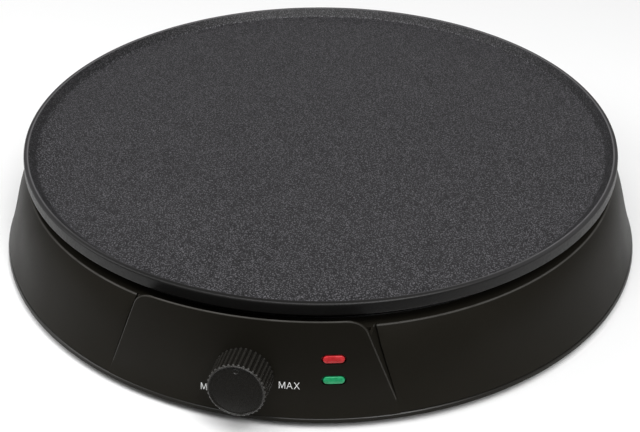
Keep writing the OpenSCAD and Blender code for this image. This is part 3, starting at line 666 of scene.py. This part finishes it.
def make_panel():
    edge = 0.5
    half = panel_outline()
    right = half
    left = [(-x, z, -nx, nz) for x, z, nx, nz in half[:-1]][::-1]
    line = right + left                       # right side, over the top, down the left side
    rows = []                                 # from the face round the edge and back to the skirt
    steps = 7
    for k in range(steps + 1):
        ph = math.pi / 2 * k / steps
        d, t = edge * (1 - math.sin(ph)), edge * (1 - math.cos(ph))
        row = []
        for x, z, nx, nz in line:
            xx, zz = x - d * nx, z - d * nz
            row.append(on_r(xx, zz, face_r(zz) - t))
        rows.append(row)
    for share in (0.5, 1.0):
        row = []
        for x, z, nx, nz in line:
            r0 = face_r(z) - edge
            r1 = cone_r(z) - 1.3
            row.append(on_r(x, z, r0 + (r1 - r0) * share))
        rows.append(row)
    n = len(line)
    verts = [p for r in rows for p in r]
    faces = []
    for j in range(len(rows) - 1):
        for i in range(n - 1):
            a, b = j * n, (j + 1) * n
            faces.append([a + i, a + i + 1, b + i + 1, b + i])
    # the face and the back, filled with rows across
    mid = len(half) - 1
    top_count = 22                            # outline points on the top edge, each side of the middle
    side_n = len(half) - top_count            # outline points below the top edge's end
    cols = 2 * top_count
    for first, r_of in ((0, face_r), ((len(rows) - 1) * n, lambda z: cone_r(z) - 1.3)):
        grid = []
        for i in range(side_n):
            li = n - 1 - i
            if i == side_n - 1:
                ids = [first + k for k in range(i, n - i)]
                grid.append(ids)
                continue
            x1, z1 = verts[first + i][0], verts[first + i][2]
            ids = [first + i]
            for c in range(1, cols):
                x = x1 * (1 - 2 * c / cols)
                ids.append(len(verts))
                verts.append(on_r(x, z1, r_of(z1)))
            ids.append(first + li)
            grid.append(ids)
        for i in range(side_n - 1):
            for c in range(cols):
                f = [grid[i][c], grid[i][c + 1], grid[i + 1][c + 1], grid[i + 1][c]]
                faces.append(f if first == 0 else f[::-1])
        # bottom strip joins front and back in the end
        if first == 0:
            front_bottom = grid[0]
        else:
            back_bottom = grid[0]
    # bottom: close between the lowest front row, the side ends and the lowest back row
    ring = front_bottom[:]
    ring += [j * n + (n - 1) for j in range(1, len(rows) - 1)]
    ring += back_bottom[::-1]
    ring += [j * n for j in range(len(rows) - 2, 0, -1)]
    faces.append(ring)
    return mesh_object("panel", verts, faces)


def make_shell():
    k = CONE_K
    prof = fillet([
        (cone_r(SHELL_Z0), SHELL_Z0, 0.3)] + [(cone_r(z), z, 0) for z in np.linspace(SHELL_Z0 + 2, SHELL_Z1 - 1.5, 24)] + [(TOP_R, SHELL_Z1, 0.6), (LEDGE_R, SHELL_Z1, 0.5), (LEDGE_R, LEDGE_Z0, 0.3),
        (cone_r(LEDGE_Z0) - WALL * k, LEDGE_Z0, 1.0), (cone_r(SHELL_Z0) - WALL * k, SHELL_Z0, 0.3)], 6)
    ob = revolve("housing", prof, 384)
    cut(ob, make_panel(), "UNION")
    # above the ledge the panel thins to a lip
    t = WALL
    rc = panel_r(PANEL_TOP) - LIP
    cut(ob, revolve("clear", [(120, SHELL_Z1), (rc, SHELL_Z1), (rc, 70), (120, 70)], 384))
    # the skirt stops short of the panel's sides, in a gap that widens upward
    for sx in (-1, 1):
        rings = []
        for z, g in ((F + 8, 0.05), (F + 12, 0.22), (F + 18, 0.38), (F + 26, 0.55), (F + 34, 0.75), (F + 39, 0.95), (F + 43, 1.15)):
            x0 = panel_w(z) + 0.03
            ro = cone_r(z)
            soft = min(0.45, g)
            pts = ((x0, ro - 1.9), (x0 + g * 0.8, ro - 1.9), (x0 + g, ro - 1.2), (x0 + g, ro - 0.5 * soft), (x0 + g + 0.3 * soft, ro - 0.12 * soft), (x0 + g + 1.0 * soft, ro + 0.12), (x0 + g + 1.0 * soft, ro + 2.5), (x0, ro + 2.5))
            rings.append([(sx * x, on_r(x, z, r)[1], z) for x, r in pts])
        cut(ob, loft("parting", rings))
    # shallow pocket in the ledge behind the lip, then the hollow of the panel below the ledge
    rings = []
    for z in (SHELL_Z1 - 1.7, SHELL_Z1, SHELL_Z1 + 1):
        wx = panel_w(z) - 1.0
        row = [on_r(wx * (1 - i / 24), z, min(panel_r(PANEL_TOP) - LIP, panel_r(z) - 0.8)) for i in range(49)]
        row += [on_r(wx * (i / 24 - 1), z, TOP_R + 0.7) for i in range(49)]
        rings.append(row)
    cut(ob, loft("lip_pocket", rings))
    rings = []
    for z in (SHELL_Z0 - 1, F + 6, F + 12, F + 20, F + 30, LEDGE_Z0):
        wx = panel_w(z) - WALL
        row = [on_r(wx * (1 - i / 24), z, face_r(z) - WALL) for i in range(49)]
        row += [on_r(wx * (i / 24 - 1), z, cone_r(z) - WALL * CONE_K - 1.6) for i in range(49)]
        rings.append(row)
    cut(ob, loft("panel_hollow", rings))
    # pocket for the cord gland, standing in from the wall
    block = loft("block", [[(x, y, z) for x, y in rect(-14.5, 14.5, GLAND_Y - t, 175, 0.6)] for z in (SHELL_Z0 + 0.02, F + 26)])
    keep = revolve("keep", [(0, 0), (cone_r(0) - 0.5, 0), (cone_r(60) - 0.5, 60), (0, 60)], 384, closed=False)
    cut(block, keep, "INTERSECT")
    cut(ob, block, "UNION")
    rings = [[(x * g, GLAND_Y if i == 0 else y, z) for x, z in rect(-12, 12, 8.5, 33.5, 1.5)] for i, (y, g) in enumerate(((GLAND_Y, 1.0), (178, 1.02)))]
    cut(ob, loft("pocket", rings))
    n = 64
    gl = [[(6.1 * math.cos(2 * math.pi * i / n), y, GLAND_Z + 6.1 * math.sin(2 * math.pi * i / n)) for i in range(n)] for y in (GLAND_Y - 6, GLAND_Y + 2)]
    cut(ob, loft("gland_hole", gl))
    # shaft hole behind the knob
    n = 64
    sh = [[(4.2 * math.cos(2 * math.pi * i / n), 4.2 * math.sin(2 * math.pi * i / n), z) for i in range(n)] for z in (-5, 4)]
    cut(ob, loft("shaft_hole", sh, matrix=AXIS))
    # lens recesses with a softened mouth
    fr = panel_frame(LENS_AZ, LENS_MID)
    for s in (-1, 1):
        mt = fr @ Matrix.Translation((0, s * LENS_OFF * MM, 0))
        l, w = LENS_L + 1.5, LENS_W + 1.5
        st = [(l, w, -1.9)]
        for q in range(0, 5):
            a = math.pi / 2 * q / 4
            st.append((l + 0.4 * (1 - math.cos(a)), w + 0.4 * (1 - math.cos(a)), -0.22 + 0.22 * math.sin(a)))
        st.append((l + 0.5, w + 0.5, 2.0))
        cut(ob, pill_loft("recess", st, mt, 14))
        cut(ob, pill_loft("window", [(LENS_L + 0.1, LENS_W + 0.1, -5), (LENS_L + 0.1, LENS_W + 0.1, 1)], mt, 14))
    tidy(ob)
    finish_piece(ob, SHELL_MAT, "base", ["housing_shell"])
    # painted highlight: the round edge down the panel's sides gets the lighter copy of the plastic
    ob.data.materials.append(SHELL_EDGE_HIGHLIGHT)
    for f in ob.data.polygons:
        x, y, z = (c / MM for c in f.center)
        if y < 0 and F + 9 < z < PANEL_TOP and 0 < panel_w(z) - abs(x) + 0.01 < 12 and f.area < 4e-6:
            r = math.hypot(x, y)
            if z < PANEL_TOP - 6.1:
                near = panel_w(z) - abs(x) < 0.42
            else:
                zc = PANEL_TOP - 9.5
                near = 9.5 - math.hypot(abs(x) - (panel_w(zc) - 9.5 * math.sqrt(1 + 0.38 * 0.38)), z - zc) < 0.42 and abs(x) > 43
            if near and face_r(z) - 0.55 < r < face_r(z) + 0.05:
                f.material_index = 1
    return ob


# ------------------------------------------------------------------ knob
def make_knob():
    ribs, per = 36, 16
    n = ribs * per
    R, D = KNOB_R, KNOB_D
    fr = R - 0.3
    # (radius, height, rib share); the ribs run out through the chamfer round the face
    body = [(fr - 1.42, D - 0.46, 0), (fr - 1.30, D - 0.43, 0)]
    for k in range(7):                        # round bead along the edge of the face
        a = math.pi * k / 6
        body.append((fr - 0.88 - 0.34 * math.cos(a), D - 0.34 + 0.34 * math.sin(a), 0))
    body += [(fr - 0.46, D - 0.37, 0.25), (fr - 0.36, D - 0.36, 0.55), (fr - 0.22, D - 0.40, 0.85), (fr - 0.06, D - 0.54, 1.0)]
    side = []
    for z, share in ((D - 0.80, 1.0), (D - 1.3, 1.0), (D * 0.75, 1), (D * 0.5, 1), (D * 0.25, 1), (2.2, 1), (0.7, 1)):
        side.append((R - 0.25 * (z - 0.6) / (D - 1.3), z, share))
    low = [(R, 0.66, 0.05), (R - 0.15, 0.6, 0), (R - 2.2, 0.6, 0), (R - 2.2, D - 3.4, 0), (6.0, D - 3.4, 0), (6.0, 0.6, 0), (3.03, 0.6, 0), (3.03, 10.2, 0), (0, 10.2, 0)]
    face = [(0.0, D - 0.52), (2, D - 0.52), (4, D - 0.51), (6, D - 0.50), (8, D - 0.48), (9.8, D - 0.47), (11.0, D - 0.465)]
    rows = [(r, z, 0) for r, z in face] + body + side + low
    verts, rings = [], []
    dim = (0.0, 9.75)
    for r, z, share in rows:
        if r < 1e-6:
            rings.append([len(verts)] * n)
            verts.append((0, 0, z))
            continue
        ids = []
        for i in range(n):
            t = 2 * math.pi * i / n
            ph = (i % per) / per
            g = 0.5 + 0.5 * math.cos(2 * math.pi * ph)      # 1 in the groove
            g = g ** 1.5
            rr = r - 0.95 * share * g
            ids.append(len(verts))
            verts.append((rr * math.cos(t), rr * math.sin(t), z))
        rings.append(ids)
    faces = []
    for j in range(len(rings) - 1):
        a, b = rings[j], rings[j + 1]
        for i in range(n):
            k = (i + 1) % n
            g = []
            for v in (a[i], a[k], b[k], b[i]):
                if v not in g:
                    g.append(v)
            if len(g) > 2:
                faces.append(g)
    ob = mesh_object("heat_knob", verts, faces, 38, AXIS)
    # index: a small round dimple near the edge of the face
    rings = []
    m = 40
    R0, dx, dy = 1.45, dim[0], dim[1]
    prof2 = [(0.02, -0.62), (0.35, -0.60), (0.7, -0.52), (1.0, -0.38), (1.22, -0.2), (1.36, -0.05), (1.46, 0.06), (1.6, 0.12), (1.7, 1.0)]
    for r, z in prof2:
        rings.append([(dx + r * math.cos(2 * math.pi * i / m), dy + r * math.sin(2 * math.pi * i / m), D - 0.46 + z) for i in range(m)])
    cut(ob, loft("dimple", rings, matrix=AXIS))
    tidy(ob, smooth_deg=38)
    finish_piece(ob, KNOB_MAT, "knob", ["temperature_knob"])
    # painted highlights: the bead and the tips of the ribs where they meet the face get the bright copy, the outer
    # ridges of the ribs down the side the lighter one
    ob.data.materials.append(KNOB_EDGE_HIGHLIGHT)
    ob.data.materials.append(KNOB_RIDGE_HIGHLIGHT)
    back = AXIS.inverted()
    for f in ob.data.polygons:
        c = back @ f.center
        r = math.hypot(c.x, c.y) / MM
        if c.z / MM > D - 1.05 and r > fr - 1.05:
            f.material_index = 1
        elif 0.7 < c.z / MM <= D - 1.05 and r > R - 0.25 * (c.z / MM - 0.6) / (D - 1.3) - 0.30:
            f.material_index = 2
    return ob


# ------------------------------------------------------------------ pilot lenses
def make_lens(name, sign, node, mat):
    mt = panel_frame(LENS_AZ, LENS_MID) @ Matrix.Translation((0, sign * LENS_OFF * MM, 0))
    l, w = LENS_L, LENS_W
    st = [(l + 2.6, w + 2.6, -WALL - 1.15), (l + 2.6, w + 2.6, -WALL - 0.15), (l, w, -WALL - 0.14), (l, w, -1.85),
          (l + 1.2, w + 1.2, -1.84), (l + 1.3, w + 1.3, -1.75), (l + 1.2, w + 1.2, -1.66), (l, w, -1.6), (l, w, -0.25)]
    for q in range(1, 8):
        a = math.pi / 2 * q / 7
        st.append((l - 0.9 * (1 - math.cos(a)), w - 0.9 * (1 - math.cos(a)), -0.25 + 0.45 * math.sin(a)))
    for inset, z in ((1.4, 0.24), (2.0, 0.30), (2.6, 0.34), (3.2, 0.365)):
        st.append((l - inset, w - inset, z))
    ob = pill_loft(name, st, mt, 18, 40)
    tidy(ob, smooth_deg=40)
    return finish_piece(ob, mat, "base", [node])


# ------------------------------------------------------------------ printed words on the dial
def stroke_word(name, letters, x_mid, z_mid, height, body_mat):
    """Flat printed letters on the panel's curved face, built from their outlines."""
    h = height
    verts, faces = [], []
    shapes = {
        "M": (0.88, [[(0, 0), (0, 1), (0.145, 1), (0.44, 0.24), (0.735, 1), (0.88, 1), (0.88, 0), (0.785, 0), (0.785, 0.83), (0.485, 0.06), (0.395, 0.06), (0.095, 0.83), (0.095, 0)]]),
        "I": (0.10, [[(0, 0), (0, 1), (0.10, 1), (0.10, 0)]]),
        "N": (0.76, [[(0, 0), (0, 1), (0.12, 1), (0.665, 0.19), (0.665, 1), (0.76, 1), (0.76, 0), (0.64, 0), (0.095, 0.81), (0.095, 0)]]),
        "A": (0.86, [[(0, 0), (0.375, 1), (0.485, 1), (0.86, 0), (0.752, 0), (0.642, 0.295), (0.218, 0.295), (0.108, 0)], [(0.252, 0.385), (0.608, 0.385), (0.43, 0.859)]]),
        "X": (0.84, [[(0, 0), (0.362, 0.515), (0.03, 1), (0.145, 1), (0.42, 0.60), (0.695, 1), (0.81, 1), (0.478, 0.515), (0.84, 0), (0.725, 0), (0.42, 0.43), (0.115, 0)]]),
    }
    gap = 0.16
    narrow = 0.90
    total = sum(shapes[c][0] for c in letters) + gap * (len(letters) - 1)
    x0 = -total / 2
    cu = bpy.data.curves.new(name, "CURVE")
    cu.dimensions = "2D"
    cu.fill_mode = "BOTH"
    for c in letters:
        wd, loops = shapes[c]
        for loop in loops:
            sp = cu.splines.new("POLY")
            sp.points.add(len(loop) - 1)
            for i, (x, y) in enumerate(loop):
                sp.points[i].co = ((x0 + x) * h * narrow, (y - 0.5) * h, 0, 1)
            sp.use_cyclic_u = True
        x0 += wd + gap
    tmp = bpy.data.objects.new(name + "_c", cu)
    scene.collection.objects.link(tmp)
    bpy.context.view_layer.update()
    dg = bpy.context.evaluated_depsgraph_get()
    me = bpy.data.meshes.new_from_object(tmp.evaluated_get(dg))
    bpy.data.objects.remove(tmp)
    bpy.data.curves.remove(cu)
    bm = bmesh.new()
    bm.from_mesh(me)
    bmesh.ops.remove_doubles(bm, verts=bm.verts, dist=1e-5)
    bmesh.ops.triangulate(bm, faces=bm.faces)
    ct = math.cos(TILT)
    for v in bm.verts:                       # lay the flat word on the tilted cone
        x, y = v.co.x, v.co.y
        z = z_mid + y * ct
        r = face_r(z) + 0.035
        a = x_mid / panel_r(z_mid) + x / panel_r(z_mid)
        v.co = Vector((r * math.sin(a), -r * math.cos(a), z)) * MM
    for f in bm.faces:
        f.normal_update()
        c = f.calc_center_median()
        if f.normal.dot(Vector((c.x, c.y, 0))) < 0:
            f.normal_flip()
    # a thin closed slab rather than a loose sheet
    geo = bmesh.ops.extrude_face_region(bm, geom=bm.faces[:])
    moved = [g for g in geo["geom"] if isinstance(g, bmesh.types.BMVert)]
    for v in moved:
        out = Vector((v.co.x, v.co.y, 0)).normalized()
        v.co -= out * 0.06 * MM
    bmesh.ops.recalc_face_normals(bm, faces=bm.faces)
    bm.to_mesh(me)
    bm.free()
    ob = bpy.data.objects.new(name, me)
    scene.collection.objects.link(ob)
    return finish_piece(ob, body_mat, "base")


plate = make_plate()
shell = make_shell()
knob = make_knob()
make_lens("lens_red", 1, "red_lens", MATS["red_lens"])
make_lens("lens_green", -1, "green_lens", MATS["green_lens"])
INK = printed_ink()
stroke_word("word_min", "MIN", -16.8, 15.3, 3.5, INK)
stroke_word("word_max", "MAX", 20.0, 21.8, 3.5, INK)

# ------------------------------------------------------------------ floor, light
# a pale table top, turned with the camera, whose front edge is just in front of the object
me = bpy.data.meshes.new("floor")
me.from_pydata([(-2.2, -0.205, 0), (2.2, -0.205, 0), (2.2, 3.2, 0), (-2.2, 3.2, 0)], [], [(0, 1, 2, 3)])
me.transform(Matrix.Rotation(math.radians(AZ), 4, "Z"))
floor = bpy.data.objects.new("floor", me)
scene.collection.objects.link(floor)
fm = Mat("floor_paint")
fm.color(fm.mix(fm.noise(3, 2), (0.91, 0.91, 0.91), (0.93, 0.93, 0.93)))
fm.put(rough=0.9, spec=0.1)
me.materials.append(fm.m)

# a dim room: bright to the back and overhead, dark in front
world = bpy.data.worlds.new("studio")
world.use_nodes = True
wt = world.node_tree
bg = wt.nodes["Background"]
tc = wt.nodes.new("ShaderNodeTexCoord")
sep = wt.nodes.new("ShaderNodeSeparateXYZ")
wt.links.new(tc.outputs["Generated"], sep.inputs[0])
front = wt.nodes.new("ShaderNodeMapRange")
front.interpolation_type = "SMOOTHSTEP"
for key, val in (("From Min", -0.75), ("From Max", 0.35), ("To Min", 0.16), ("To Max", 0.22)):
    front.inputs[key].default_value = val
wt.links.new(sep.outputs["Y"], front.inputs["Value"])
wt.links.new(front.outputs[0], bg.inputs["Strength"])
bg.inputs["Color"].default_value = (1, 1, 1, 1)
scene.world = world


def softbox(name, loc, target, size, power, size_y=None):
    d = bpy.data.lights.new(name, "AREA")
    d.shape = "RECTANGLE"
    d.size = size
    d.size_y = size_y or size
    d.energy = power
    o = bpy.data.objects.new(name, d)
    scene.collection.objects.link(o)
    o.location = loc
    o.rotation_euler = (Vector(target) - Vector(loc)).to_track_quat("-Z", "Y").to_euler()
    return o


softbox("overhead", (0.0, -0.60, 1.72), (0, 0.05, 0), 1.5, 20.5, 1.0)
softbox("left_box", (-1.25, -0.28, 0.98), (0, 0, 0.03), 0.55, 8, 0.9)
softbox("right_box", (0.72, -0.78, 1.30), (0, 0, 0.03), 0.55, 13, 0.9)
